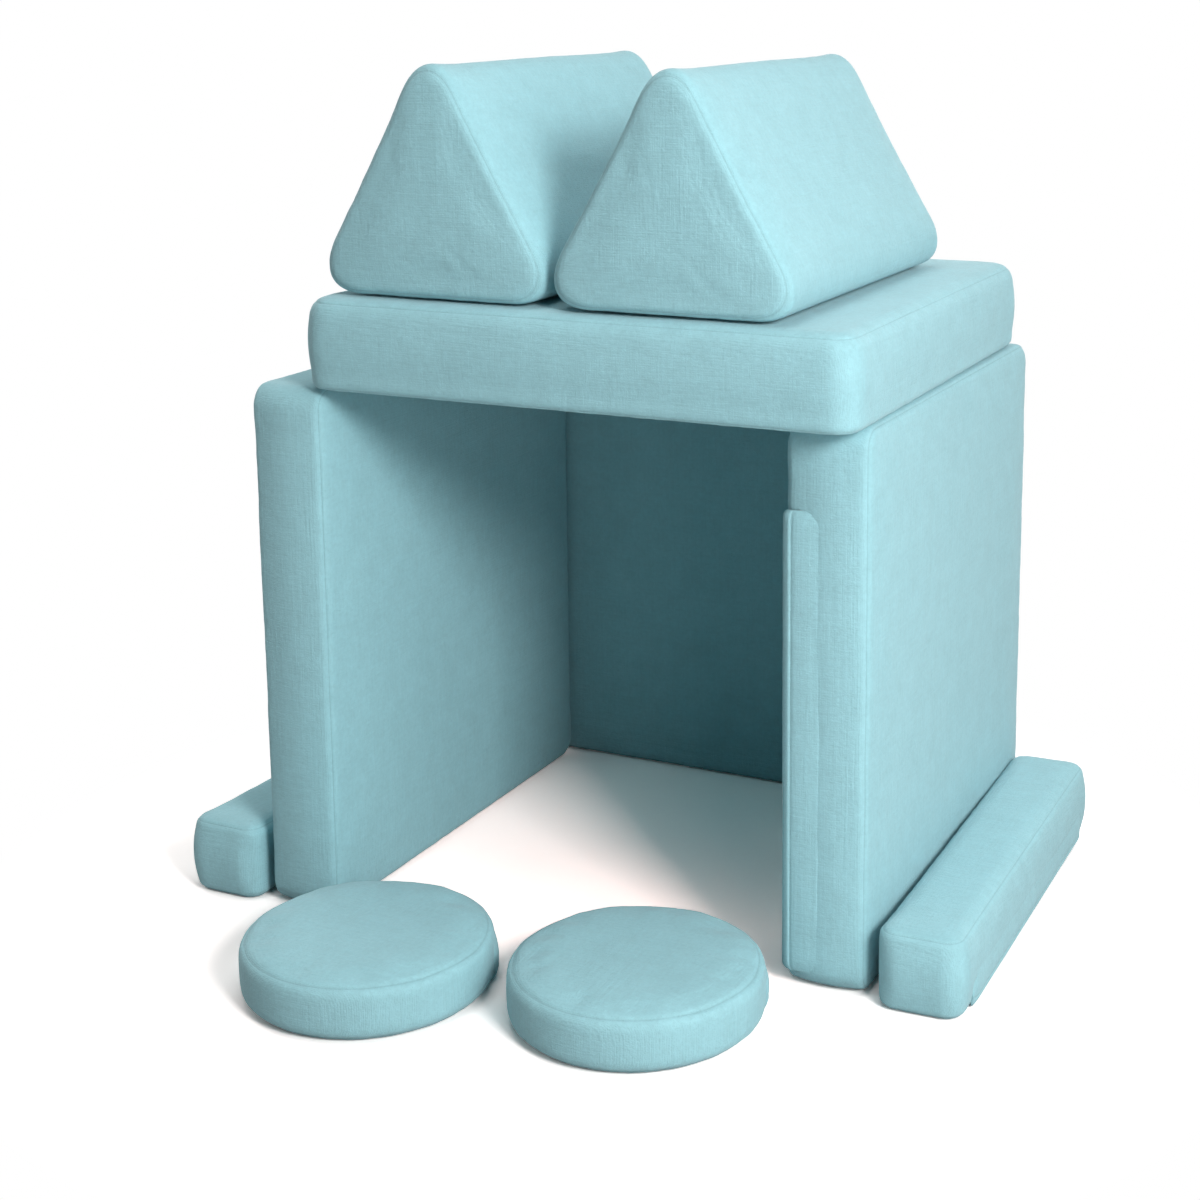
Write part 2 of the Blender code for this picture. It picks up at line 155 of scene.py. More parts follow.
def swell_boxing(bm, height, half_width, free):
    """The strip round the edge bellies out between its two seams, where free(normal) lets it."""
    bm.normal_update()
    for vertex in bm.verts:
        normal, across = vertex.normal, abs(vertex.co.z) / half_width
        if across < 1 and abs(normal.z) < 0.5:
            belly = height * (1 - across ** 2.2) * free(normal)
            vertex.co += Vector((normal.x, normal.y, 0)) * belly


def stuff(bm, crown, flat, boxed=True):
    """Swells the sewn cover with cloth pressure, as far as the crown and not where it rests.

    flat(point, normal) is 0 where the block rests on something and 1 where it is free.
    On a boxed block only the two face panels swell so.
    """
    bm.normal_update()
    rest = [vertex.co.copy() for vertex in bm.verts]
    normals = [vertex.normal.copy() for vertex in bm.verts]
    mesh = bpy.data.meshes.new("stuffing")
    bm.to_mesh(mesh)
    cover = bpy.data.objects.new("stuffing", mesh)
    bpy.context.scene.collection.objects.link(cover)
    cloth = cover.modifiers.new("cloth", "CLOTH")
    cloth.settings.quality = 4
    cloth.settings.mass = 0.35
    cloth.settings.tension_stiffness = 40
    cloth.settings.compression_stiffness = 40
    cloth.settings.shear_stiffness = 15
    cloth.settings.bending_stiffness = 2.0
    cloth.settings.use_pressure = True
    cloth.settings.uniform_pressure_force = 4.0
    cloth.settings.effector_weights.gravity = 0.0
    cloth.collision_settings.use_collision = False
    cloth.point_cache.frame_start, cloth.point_cache.frame_end = 1, STUFFING_FRAMES
    scene = bpy.context.scene
    for step in range(1, STUFFING_FRAMES + 1):
        scene.frame_set(step)
    swollen = cover.evaluated_get(bpy.context.evaluated_depsgraph_get()).data
    moves = [vertex.co - start for vertex, start in zip(swollen.vertices, rest)]
    scene.frame_set(1)
    bpy.data.objects.remove(cover)
    most = max(move.dot(normal) for move, normal in zip(moves, normals))
    for vertex, start, normal, move in zip(bm.verts, rest, normals, moves):
        reach = move.length / most
        capped = math.tanh(FULLNESS * reach) / math.tanh(FULLNESS)
        share = flat(start, normal) * (min(1.0, abs(normal.z) * 1.5) if boxed else 1.0)
        vertex.co = start + move * (crown * capped * share / max(move.length, TINY))


def resting_below(point, normal):
    """1 where a block lying on its lower face is free, and 0 where it rests."""
    return 1.0 - max(0.0, min(1.0, -normal.z * RESTING))


def smooth_once(bm):
    """One level of subdivision, so that the cloth turns smoothly."""
    mesh = bpy.data.meshes.new("smoothing")
    bm.to_mesh(mesh)
    bm.free()
    cover = bpy.data.objects.new("smoothing", mesh)
    bpy.context.scene.collection.objects.link(cover)
    finer = cover.modifiers.new("finer", "SUBSURF")
    finer.levels = finer.render_levels = 1
    made = cover.evaluated_get(bpy.context.evaluated_depsgraph_get()).data
    bm = bmesh.new()
    bm.from_mesh(made)
    bpy.data.objects.remove(cover)
    return bm


SEAM_REACH = 0.05


def sew(bm):
    """Pulls the seams into a groove, and puckers the cloth beside them."""
    bm.normal_update()
    seam = bm.verts.layers.float["seam"]
    sewn = [vertex.co.copy() for vertex in bm.verts if vertex[seam] > 0.99]
    tree = kdtree.KDTree(len(sewn))
    for index, place in enumerate(sewn):
        tree.insert(place, index)
    tree.balance()
    for vertex in bm.verts:
        place, normal = vertex.co.copy(), vertex.normal.copy()
        nearest, _, away = tree.find(place)
        if away > SEAM_REACH:
            continue
        drawn = nearest + (place - nearest) * 0.2
        pull = noise.noise(drawn * 55) + 0.6 * noise.noise(drawn * 118 + Vector((5, 1, 3)))
        pucker = 0.0006 * pull * math.exp(-((away / 0.014) ** 1.5)) * min(1.0, away / 0.004)
        roll = 0.00015 * math.exp(-(((away - 0.0052) / 0.003) ** 2))
        vertex.co = place + normal * (pucker + roll - SEAM_DEPTH * vertex[seam] ** 2)


def rumple(bm, flat, height):
    """The slack of a sewn cover: slow waves, and a few fine ones."""
    bm.normal_update()
    for vertex in bm.verts:
        wave = noise.noise(vertex.co * 7.5) + 0.35 * noise.noise(vertex.co * 26 + Vector((3, 7, 1)))
        vertex.co += vertex.normal * (height * wave * flat(vertex.co, vertex.normal))


def in_place(turn, middle):
    return Matrix.Translation(middle) @ Matrix.Rotation(math.radians(turn), 4, "Z")


def above(low, high, height):
    """A point at this height, over the middle of the box between these two corners."""
    return Vector(((low.x + high.x) / 2, (low.y + high.y) / 2, height))


ZIP_HALF = 0.0039
ZIP_LIP = 0.0048
ZIP_FROM_FACE = 0.018
ZIP_DEPTH = 0.0026
FLAP_BLEND = 0.015
FLAP_PAST_ZIP = 0.022
LEAST_CLEARANCE = 0.0003


def on_face(point, along, out):
    """Lays Y along a zip and turns Z out of the cover at this point."""
    across = along.cross(out)
    return Matrix.Translation(point) @ Matrix((across, along, out)).transposed().to_4x4()


def open_for_zip(bm, axis, place):
    cut_across(bm, axis, [place + side for side in (-ZIP_LIP, -ZIP_HALF, ZIP_HALF, ZIP_LIP)])


def eased(share):
    share = min(1.0, max(0.0, share))
    return share * share * (3 - 2 * share)


def let_down(across, along, out, length, rim, setback):
    """Where the cloth lies in the channel for the zip's tape, beside it and under its flap.

    A zip near a rim has that rim's radius and its own setback from it, others have 0 and 0.
    """
    past_end = abs(along) - length / 2
    widest = setback + rim if rim else 0.032
    if past_end > FLAP_BLEND or not -0.040 < across < widest or out < -rim - 0.002:
        return across, out
    if abs(across) < ZIP_HALF + 0.0002 and past_end < 0.001:
        return across, -ZIP_DEPTH
    share = eased(1 - past_end / FLAP_BLEND)
    if across <= setback or not rim:
        start, stop = (-0.021, -0.007) if rim else (-0.036, -0.016)
        share *= eased((across - start) / (stop - start))
        if not rim:
            share *= eased((0.028 - across) / 0.014)
        return across, out + share * (min(out, -LEAST_CLEARANCE) - out)
    reach = math.hypot(across - setback, out + rim)
    press = 1 + share * (min(1.0, (rim - 0.0006) / reach) - 1)
    return setback + (across - setback) * press, (out + rim) * press - rim


def set_in_zip(bm, line, length, side, rim, setback):
    back = line.inverted()
    for vertex in bm.verts:
        across, along, out = back @ vertex.co
        across, out = let_down(side * across, along, out, length, rim, setback)
        vertex.co = line @ Vector((side * across, along, out))


def finish_cushion(name, bm, matrix):
    """Stands the sewn cover in its place, in front of its plain solids."""
    bmesh.ops.transform(bm, matrix=matrix, verts=bm.verts)
    bmesh.ops.recalc_face_normals(bm, faces=bm.faces)
    mesh = bpy.data.meshes.new(name + "_cushion")
    bm.to_mesh(mesh)
    bm.free()
    mesh.shade_smooth()
    mesh.materials.append(COVER_CLOTH)
    cushion = bpy.data.objects.new(name + "_cushion", mesh)
    bpy.context.scene.collection.objects.link(cushion)
    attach(cushion, name)
    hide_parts(name + "_cover", name + "_core")


STITCH_FROM_ZIP = (0.0058, 0.0066)
CLOTH_THICKNESS = 0.0014
FLAP_TUCK = 0.010
FLAP_WAVE = 0.0002
TUCKED_HEIGHT = 0.24


def flap_section(rim, setback, wrap, belly=0.0):
    """Section of a zip flap: across towards its free edge, and out from the cover.

    With a wrap, in degrees, the free edge turns over the rim. Without one it lies flat.
    """
    under = [(0.0034, 0.0039), (0.0018, 0.0038), (-0.0018, 0.0039), (-0.0044, 0.0038)]
    if wrap:
        start, crest = belly - 0.0018, 0.0050
        ramp = [
            (0.0225 * share - 0.030, start + (crest - start) * (1 - (1 - share) ** 1.5))
            for share in (0, 0.18, 0.36, 0.58, 0.8)
        ]
        top = ramp + [(-0.0075, crest), (-0.0038, crest), (0.0002, crest)]
        top += [(0.0046, 0.0047), (setback + 0.0004, 0.0031)]
        under += [(across, out - CLOTH_THICKNESS) for across, out in reversed(ramp)]
        turns = [(math.radians(wrap * share), share) for share in (0.12, 0.3, 0.5, 0.75, 1.0)]
        outer = [(turn, rim + 0.0053 - 0.0014 * share) for turn, share in turns]
        inner = [(turn, rim + 0.0037 - 0.0014 * share) for turn, share in turns]
        top += [(setback + r * math.sin(t), r * math.cos(t) - rim) for t, r in outer]
        under = [(setback + 0.0004, 0.0018), (0.0046, 0.0037)] + under[1:]
        under = [
            (setback + r * math.sin(t), r * math.cos(t) - rim) for t, r in reversed(inner)
        ] + under
    else:
        top = [(-0.0152, -0.0012), (-0.0140, 0.0002), (-0.0112, 0.0018), (-0.0078, 0.0035)]
        top += [(-0.0048, 0.0047), (-0.0018, 0.0052), (0.0006, 0.0052), (0.0018, 0.0046)]
        top += [(0.0026, 0.0046), (0.0038, 0.0054), (0.0060, 0.0050), (0.0090, 0.0042)]
        top += [(0.0115, 0.0029)]
        under = [(0.0112, 0.0014), (0.009, 0.0027), (0.006, 0.0036)] + under
        under += [(-0.0062, 0.0024), (-0.0100, -0.0012)]
    return top, under


def flap_blank(section, side):
    """The section's closed outline as one face, ready to be drawn along the zip."""
    top, under = section
    bm = bmesh.new()
    verts = [bm.verts.new((side * across, 0, out)) for across, out in top + under]
    return bm, bm.faces.new(verts)


def tuck_ends(bm, length):
    """Presses both ends of the flap down to where they are tacked to the cover."""
    for vertex in bm.verts:
        from_end = length / 2 - abs(vertex.co.y)
        share = eased(from_end / FLAP_TUCK)
        press = TUCKED_HEIGHT + (1 - TUCKED_HEIGHT) * share
        vertex.co.z = vertex.co.z * press if vertex.co.z > 0 else vertex.co.z
        wave = noise.noise(Vector((vertex.co.x * 9, vertex.co.y * 16, 2.5)))
        vertex.co.z += FLAP_WAVE * (1 + wave) * share


def finish_flap(name, bm):
    bmesh.ops.recalc_face_normals(bm, faces=bm.faces)
    mesh = bpy.data.meshes.new(name + "_flap")
    bm.to_mesh(mesh)
    bm.free()
    mesh.shade_smooth()
    mesh.materials.append(COVER_CLOTH)
    flap = bpy.data.objects.new(name + "_flap", mesh)
    bpy.context.scene.collection.objects.link(flap)
    rounder = flap.modifiers.new("rounder", "SUBSURF")
    rounder.levels = rounder.render_levels = 1
    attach(flap, name)


def flap_strip(side, zip_length, section):
    """A folded strip of the cover's cloth, to be sewn beside the zip and lie over it."""
    length = zip_length + FLAP_PAST_ZIP
    bm, face = flap_blank(section, side)
    steps = max(8, round(length / CUT_PITCH))
    bmesh.ops.translate(bm, vec=(0, -length / 2, 0), verts=bm.verts)
    for _ in range(steps):
        face = bmesh.ops.extrude_discrete_faces(bm, faces=[face])["faces"][0]
        bmesh.ops.translate(bm, vec=(0, length / steps, 0), verts=face.verts[:])
    bmesh.ops.holes_fill(bm, edges=[edge for edge in bm.edges if edge.is_boundary], sides=0)
    # The stitched line is marked 1.1, so the cloth's shader paints a little more shade along it than
    # along the cover's seams.
    stitched = max(section[0], key=lambda point: STITCH_FROM_ZIP[0] < point[0] < STITCH_FROM_ZIP[1])
    seam = bm.verts.layers.float.new("seam")
    for vertex in bm.verts:
        aside, above_it = side * vertex.co.x - stitched[0], vertex.co.z - stitched[1]
        if abs(aside) < SAME_PLACE and abs(above_it) < SAME_PLACE:
            vertex[seam] = 1.1
    tuck_ends(bm, length)
    return bm


def straight_flap(name, line, side, zip_length, section):
    bm = flap_strip(side, zip_length, section)
    bmesh.ops.transform(bm, matrix=line, verts=bm.verts)
    finish_flap(name, bm)


# The cloth: a plain weave of slubby yarn, so it is mottled and slightly streaked
# along both threads, with a matt face, and painted shade along the seams where they draw it in.
def add_socket(group, name, kind, into, value=None):
    socket = group.interface.new_socket(name=name, in_out=into, socket_type=kind)
    if value is not None:
        socket.default_value = value


def new_node(tree, kind, **settings):
    node = tree.nodes.new(kind)
    for key, value in settings.items():
        setattr(node, key, value)
    return node


def join(tree, source, target):
    tree.links.new(source, target)


def sum_up(tree, operation, first, second, clamp=False):
    node = new_node(tree, "ShaderNodeMath", operation=operation, use_clamp=clamp)
    for socket, value in zip(node.inputs, (first, second)):
        if isinstance(value, (int, float)):
            socket.default_value = value
        else:
            join(tree, value, socket)
    return node.outputs[0]


def streaks(tree, place, scale, along):
    """Noise drawn out along one direction of the weave."""
    mapping = new_node(tree, "ShaderNodeMapping", vector_type="POINT")
    mapping.inputs["Scale"].default_value = [
        scale * (0.035 if axis == along else 1) for axis in range(3)
    ]
    join(tree, place, mapping.inputs["Vector"])
    yarn = new_node(tree, "ShaderNodeTexNoise", noise_dimensions="3D")
    yarn.inputs["Scale"].default_value = 1.0
    yarn.inputs["Detail"].default_value = 2.0
    yarn.inputs["Roughness"].default_value = 0.6
    join(tree, mapping.outputs[0], yarn.inputs["Vector"])
    return sum_up(tree, "SUBTRACT", yarn.outputs["Fac"], 0.5)


THREADS_PER_METRE = 800.0
# How much painted shade darkens the cloth along the seam lines.
PAINTED_SEAM_SHADE = 0.19


def weave_group():
    """Group with the cloth's colour, with painted shade along its seams, and its roughness and height
    from its place on the cover.
    """
    tree = bpy.data.node_groups.new("slub_weave", "ShaderNodeTree")
    add_socket(tree, "Colour", "NodeSocketColor", "INPUT", CLOTH_COLOUR)
    add_socket(tree, "Mottle", "NodeSocketFloat", "INPUT", 0.5)
    add_socket(tree, "Threads per metre", "NodeSocketFloat", "INPUT", THREADS_PER_METRE)
    add_socket(tree, "Colour", "NodeSocketColor", "OUTPUT")
    add_socket(tree, "Roughness", "NodeSocketFloat", "OUTPUT")
    add_socket(tree, "Height", "NodeSocketFloat", "OUTPUT")
    given = new_node(tree, "NodeGroupInput")
    result = new_node(tree, "NodeGroupOutput")
    place = new_node(tree, "ShaderNodeTexCoord").outputs["Object"]

    yarn = None
    for along in range(3):
        fine = streaks(tree, place, 620.0, along)
        coarse = streaks(tree, place, 210.0, along)
        both = sum_up(tree, "ADD", fine, sum_up(tree, "MULTIPLY", coarse, 0.7))
        yarn = both if yarn is None else sum_up(tree, "ADD", yarn, both)

    cloud = new_node(tree, "ShaderNodeTexNoise", noise_dimensions="3D")
    cloud.inputs["Scale"].default_value = 34.0
    cloud.inputs["Detail"].default_value = 4.0
    cloud.inputs["Roughness"].default_value = 0.55
    join(tree, place, cloud.inputs["Vector"])
    patch = sum_up(tree, "SUBTRACT", cloud.outputs["Fac"], 0.5)

    separate = new_node(tree, "ShaderNodeSeparateXYZ")
    join(tree, place, separate.inputs[0])
    threads = None
    for axis in range(3):
        turns = sum_up(tree, "MULTIPLY", separate.outputs[axis], given.outputs["Threads per metre"])
        angle = sum_up(tree, "MULTIPLY", turns, math.tau)
        wave = sum_up(tree, "SINE", angle, 0.0)
        threads = wave if threads is None else sum_up(tree, "ADD", threads, wave)

    fleck = new_node(tree, "ShaderNodeTexNoise", noise_dimensions="3D")
    fleck.inputs["Scale"].default_value = 190.0
    fleck.inputs["Detail"].default_value = 2.0
    join(tree, place, fleck.inputs["Vector"])
    fleck = sum_up(tree, "MULTIPLY", sum_up(tree, "SUBTRACT", fleck.outputs["Fac"], 0.5), 0.16)
    patch = sum_up(tree, "ADD", sum_up(tree, "MULTIPLY", patch, 0.16), fleck)
    tone = sum_up(tree, "ADD", sum_up(tree, "MULTIPLY", yarn, 0.085), patch)
    tone = sum_up(tree, "MULTIPLY", tone, given.outputs["Mottle"])
    tone = sum_up(tree, "ADD", tone, 1.0)
    # Painted shade: the colour is darkened along the seam lines, standing in for the shade in their
    # grooves.
    seam = new_node(tree, "ShaderNodeAttribute", attribute_type="GEOMETRY", attribute_name="seam")
    seam_groove_mask = sum_up(tree, "POWER", seam.outputs["Fac"], 4.0)
    shade = sum_up(tree, "SUBTRACT", 1.0, sum_up(tree, "MULTIPLY", seam_groove_mask, PAINTED_SEAM_SHADE))
    tone = sum_up(tree, "MULTIPLY", tone, shade)
    tint = new_node(tree, "ShaderNodeVectorMath", operation="SCALE")
    join(tree, given.outputs["Colour"], tint.inputs[0])
    join(tree, tone, tint.inputs["Scale"])
    join(tree, tint.outputs[0], result.inputs["Colour"])

    rough = sum_up(tree, "ADD", sum_up(tree, "MULTIPLY", yarn, 0.25), 0.9, clamp=True)
    join(tree, rough, result.inputs["Roughness"])
    woven, slubs = sum_up(tree, "MULTIPLY", threads, 0.12), sum_up(tree, "MULTIPLY", yarn, 1.1)
    join(tree, sum_up(tree, "ADD", woven, slubs), result.inputs["Height"])
    return tree


def cloth_material(name, colour, mottle, bump=0.0005):
    material = bpy.data.materials.new(name)
    material.use_nodes = True
    material.diffuse_color = colour
    tree = material.node_tree
    shader = tree.nodes["Principled BSDF"]
    shader.inputs["Sheen Weight"].default_value = 0.18
    shader.inputs["Sheen Roughness"].default_value = 0.45
    shader.inputs["Specular IOR Level"].default_value = 0.25
    cloth = new_node(tree, "ShaderNodeGroup", node_tree=WEAVE)
    cloth.inputs["Colour"].default_value = colour
    cloth.inputs["Mottle"].default_value = mottle
    raised = new_node(tree, "ShaderNodeBump")
    raised.inputs["Strength"].default_value = 0.8
    raised.inputs["Distance"].default_value = bump
    join(tree, cloth.outputs["Colour"], shader.inputs["Base Color"])
    join(tree, cloth.outputs["Roughness"], shader.inputs["Roughness"])
    join(tree, cloth.outputs["Height"], raised.inputs["Height"])
    join(tree, raised.outputs["Normal"], shader.inputs["Normal"])
    return material


WEAVE = weave_group()
COVER_CLOTH = cloth_material("teal_cover_cloth", CLOTH_COLOUR, 1.0)


def panel_cushion(name, turn, stance, zip_point, zip_out, zip_length):
    """A wall panel, made lying down. It stays flat on the floor and under the roof."""
    def flat(point, normal):
        return 1.0 - min(1.0, abs(normal.y) * RESTING)

    def to_front(normal):
        return max(0.0, normal.dot(front))

    low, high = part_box(name + "_cover")
    bm = square_block(PANEL_SIZE - Vector((PANEL_EASE,) * 3), PANEL_CORNER, PANEL_RIM)
    front = stance.inverted().to_3x3() @ Vector((0, -1, 0))
    swell_boxing(bm, BOXING_BELLY, PANEL_SIZE.z / 2 - PANEL_RIM, to_front)
    bm.normal_update()
    stuff(bm, PANEL_CROWN, flat)
    bm = smooth_once(bm)
    rumple(bm, flat, PANEL_SLACK)
    sew(bm)
    open_for_zip(bm, 2, ZIP_FROM_FACE - PANEL_SIZE.z / 2)
    bmesh.ops.transform(bm, matrix=stance, verts=bm.verts)
    line = on_face(Vector(zip_point), Vector((0, 0, 1)), Vector(zip_out))
    side = 1 if (line.inverted().to_3x3() @ stance.to_3x3() @ Vector((0, 0, -1))).x > 0 else -1
    setback = ZIP_FROM_FACE - PANEL_RIM
    set_in_zip(bm, line, zip_length, side, PANEL_RIM, setback)
    place = in_place(turn, above(low, high, low.z + PANEL_SIZE.y / 2 + LEAST_CLEARANCE))
    finish_cushion(name, bm, place)
    belly = BOXING_BELLY if Vector(zip_out).y < 0 else 0.0
    section = flap_section(PANEL_RIM, setback, 60, belly)
    straight_flap(name, place @ line, side, zip_length, section)


ACROSS = Matrix.Rotation(math.pi / 2, 4, "X")
ALONG = Matrix.Rotation(math.pi / 2, 4, "Z") @ ACROSS
PANEL_END = PANEL_SIZE.x / 2
panel_cushion(
    "left_wall", 0.3, ALONG, (-PANEL_ZIP_FROM_MIDDLE, PANEL_END, 0), (0, 1, 0), PANEL_ZIP_LENGTH
)
panel_cushion(
    "right_wall", 0.6, ALONG, (-PANEL_ZIP_FROM_MIDDLE, -PANEL_END, -FRONT_ZIP_DROP), (0, -1, 0),
    FRONT_ZIP_LENGTH,
)
panel_cushion(
    "back_wall", 0.0, ACROSS, (-PANEL_END, PANEL_ZIP_FROM_MIDDLE, 0), (-1, 0, 0), PANEL_ZIP_LENGTH
)

# ---------------------------------------------------------------------------
# Roof: the thick near-square seat cushion, laid flat over the walls.
# The same cloth over thicker foam, boxed all round, with both seams drawn tight.
# ---------------------------------------------------------------------------
ROOF_SIZE = Vector((0.713, 0.655, 0.113))
ROOF_CORNER = 0.035
ROOF_RIM = 0.021
ROOF_LOWER_RIM = 0.011
ROOF_CROWN = 0.0028
ROOF_BELLY = 0.003
ROOF_SLACK = 0.0008
ROOF_EASE = 0.001
ROOF_SINK = 0.0004
ROOF_TURN = 1.4
ROOF_ZIP_LENGTH = 0.583


def roof_cushion():
    low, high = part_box("roof_cover")
    bm = square_block(
        ROOF_SIZE - Vector((ROOF_EASE,) * 3), ROOF_CORNER, ROOF_RIM, lower_rim=ROOF_LOWER_RIM
    )
    swell_boxing(bm, ROOF_BELLY, ROOF_SIZE.z / 2 - ROOF_RIM, lambda normal: 1.0)
    bm.normal_update()
    stuff(bm, ROOF_CROWN, resting_below)
    bm = smooth_once(bm)
    rumple(bm, resting_below, ROOF_SLACK)
    sew(bm)
    open_for_zip(bm, 2, 0)
    line = on_face(Vector((0, ROOF_SIZE.y / 2, 0)), Vector((1, 0, 0)), Vector((0, 1, 0)))
    set_in_zip(bm, line, ROOF_ZIP_LENGTH, -1, 0, 0)
    place = in_place(ROOF_TURN, above(low, high, low.z + ROOF_SIZE.z / 2 - ROOF_SINK))
    finish_cushion("roof", bm, place)
    straight_flap("roof", place @ line, -1, ROOF_ZIP_LENGTH, flap_section(0, 0, 0))


roof_cushion()

# ---------------------------------------------------------------------------
# Wedges: two triangular prisms of foam on the roof, each with its own cover.
# One strip of cloth runs round the three sides, and a triangle closes each end.
# ---------------------------------------------------------------------------
WEDGE_BASE = 0.354
WEDGE_RISE = 0.313
WEDGE_LENGTH = 0.534
WEDGE_CORNER = 0.040
WEDGE_RIM = 0.016
WEDGE_CROWN = 0.0028
WEDGE_SLACK = 0.0010
WEDGE_EASE = 0.0005
WEDGE_ZIP_HEIGHT = 0.040
WEDGE_ZIP_LENGTH = 0.220


def drum(bm, inner, half, rim, pitch):
    """Draws a flat outline out into a block, over the rims from the middle of one end to the other.

    inner is the radius of the outline's inner circle, so that a scale sets every side in alike.
    The seams lie half way round the rims.
    """
    outline = [vertex.co.copy() for vertex in bm.faces[:][0].verts]
    flat_rings = max(3, round((inner - rim) / pitch))
    levels = [
        ((inner - rim) / inner * (ring + 0.4) / (flat_rings + 0.4), half) for ring in range(flat_rings)
    ]
    for turn in (0, 15, 30, 45, 60, 75, 90):
        reach = inner - rim + rim * math.sin(math.radians(turn))
        levels.append((reach / inner, half - rim + rim * math.cos(math.radians(turn))))
    seam_level = flat_rings + 3
    side_rings = max(2, round(2 * (half - rim) / pitch))
    levels = levels + [
        (1.0, (half - rim) * (1 - 2 * ring / side_rings)) for ring in range(1, side_rings)
    ] + [(scale, -height) for scale, height in reversed(levels)]
    seam = bm.verts.layers.float.new("seam")
    face = bm.faces[:][0]
    for index, (scale, height) in enumerate(levels):
        if index:
            face = bmesh.ops.extrude_discrete_faces(bm, faces=[face])["faces"][0]
        sewn = index in (seam_level, len(levels) - 1 - seam_level)
        for vertex, arm in zip(face.verts, outline):
            vertex.co = Vector((arm.x * scale, arm.y * scale, height))
            vertex[seam] = 1.0 if sewn else 0.0
    bmesh.ops.holes_fill(bm, edges=[edge for edge in bm.edges if edge.is_boundary], sides=0)
    bmesh.ops.recalc_face_normals(bm, faces=bm.faces)
    bm.normal_update()
    return bm


def wedge_inner_radius():
    slope = math.hypot(WEDGE_BASE / 2, WEDGE_RISE)
    return WEDGE_BASE * WEDGE_RISE / (WEDGE_BASE + 2 * slope)


def wedge_outline():
    """The triangle with rounded corners, its apex towards +Y and its inner circle round the origin."""
    bm = bmesh.new()
    bmesh.ops.create_circle(bm, cap_ends=True, segments=3, radius=1.0)
    xs, ys = [v.co.x for v in bm.verts], [v.co.y for v in bm.verts]
    stretch = (WEDGE_BASE / (max(xs) - min(xs)), WEDGE_RISE / (max(ys) - min(ys)), 1)
    bmesh.ops.scale(bm, vec=stretch, verts=bm.verts)
    bmesh.ops.translate(
        bm, vec=(0, -wedge_inner_radius() - min(v.co.y for v in bm.verts), 0), verts=bm.verts
    )
    bmesh.ops.bevel(
        bm, geom=bm.verts[:], offset=WEDGE_CORNER * math.tan(math.pi / 3), offset_type="OFFSET",
        segments=8, profile=0.5, affect="VERTICES", material=-1,
    )
    for edge in list(bm.edges):
        length = edge.calc_length()
        if length > 2 * CUT_PITCH:
            bmesh.ops.subdivide_edges(bm, edges=[edge], cuts=round(length / CUT_PITCH) - 1)
    return bm


def wedge_cushion(name, turn):
    """A wedge, made standing on one end. It stays flat on the roof."""
    def flat(point, normal):
        return 1.0 - max(0.0, min(1.0, -normal.y * RESTING))

    low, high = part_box(name + "_cover")
    inner = wedge_inner_radius()
    bm = drum(wedge_outline(), inner, WEDGE_LENGTH / 2 - WEDGE_EASE, WEDGE_RIM, CUT_PITCH)
    stuff(bm, WEDGE_CROWN, flat, boxed=False)
    bm = smooth_once(bm)
    rumple(bm, flat, WEDGE_SLACK)
    sew(bm)
    zip_height = WEDGE_ZIP_HEIGHT - inner
    open_for_zip(bm, 1, zip_height)
    bmesh.ops.transform(bm, matrix=ACROSS, verts=bm.verts)
    line = on_face(Vector((0, WEDGE_LENGTH / 2, zip_height)), Vector((1, 0, 0)), Vector((0, 1, 0)))
    set_in_zip(bm, line, WEDGE_ZIP_LENGTH, -1, 0, 0)
    place = in_place(turn, above(low, high, low.z + inner))
    finish_cushion(name, bm, place)
    straight_flap(name, place @ line, -1, WEDGE_ZIP_LENGTH, flap_section(0, 0, 0))


wedge_cushion("left_wedge", 0.7)
wedge_cushion("right_wedge", 1.2)

# ---------------------------------------------------------------------------
# Bars: two bolsters of near-square section, on the floor along the side walls.
# Boxed like the panels, with the seams round the edges of the upper and lower face.
# ---------------------------------------------------------------------------
BAR_SIZE = Vector((0.106, 0.607, 0.100))
BAR_CORNER = 0.024
BAR_RIM = 0.014
BAR_CROWN = 0.002
BAR_SLACK = 0.0006
BAR_EASE = 0.001
BAR_PITCH = 0.010
BAR_ZIP_HEIGHT = 0.020
BAR_ZIP_LENGTH = 0.499


def bar_cushion(name, turn, outer):
    """outer is the side that faces away from the wall, where the zip is."""
    def off_the_wall(normal):
        return 1 - min(1.0, max(0.0, -outer * normal.x) * 2)

    low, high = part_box(name + "_cover")
    bm = square_block(BAR_SIZE - Vector((BAR_EASE,) * 3), BAR_CORNER, BAR_RIM, BAR_PITCH)
    swell_boxing(bm, BOXING_BELLY, BAR_SIZE.z / 2 - BAR_RIM, off_the_wall)
    bm.normal_update()
    stuff(bm, BAR_CROWN, resting_below)
    bm = smooth_once(bm)
    rumple(bm, resting_below, BAR_SLACK)
    sew(bm)
    zip_height = BAR_ZIP_HEIGHT - BAR_SIZE.z / 2
    open_for_zip(bm, 2, zip_height)
    out = Vector((outer, 0, 0))
    line = on_face(out * BAR_SIZE.x / 2 + Vector((0, 0, zip_height)), Vector((0, 1, 0)), out)
    setback = BAR_ZIP_HEIGHT - BAR_RIM
    set_in_zip(bm, line, BAR_ZIP_LENGTH, outer, BAR_RIM, setback)
    place = in_place(turn, above(low, high, low.z + BAR_SIZE.z / 2))
    finish_cushion(name, bm, place)
    section = flap_section(BAR_RIM, setback, 50, BOXING_BELLY)
    straight_flap(name, place @ line, outer, BAR_ZIP_LENGTH, section)


bar_cushion("left_bar", -0.6, -1)
bar_cushion("right_bar", 1.9, 1)

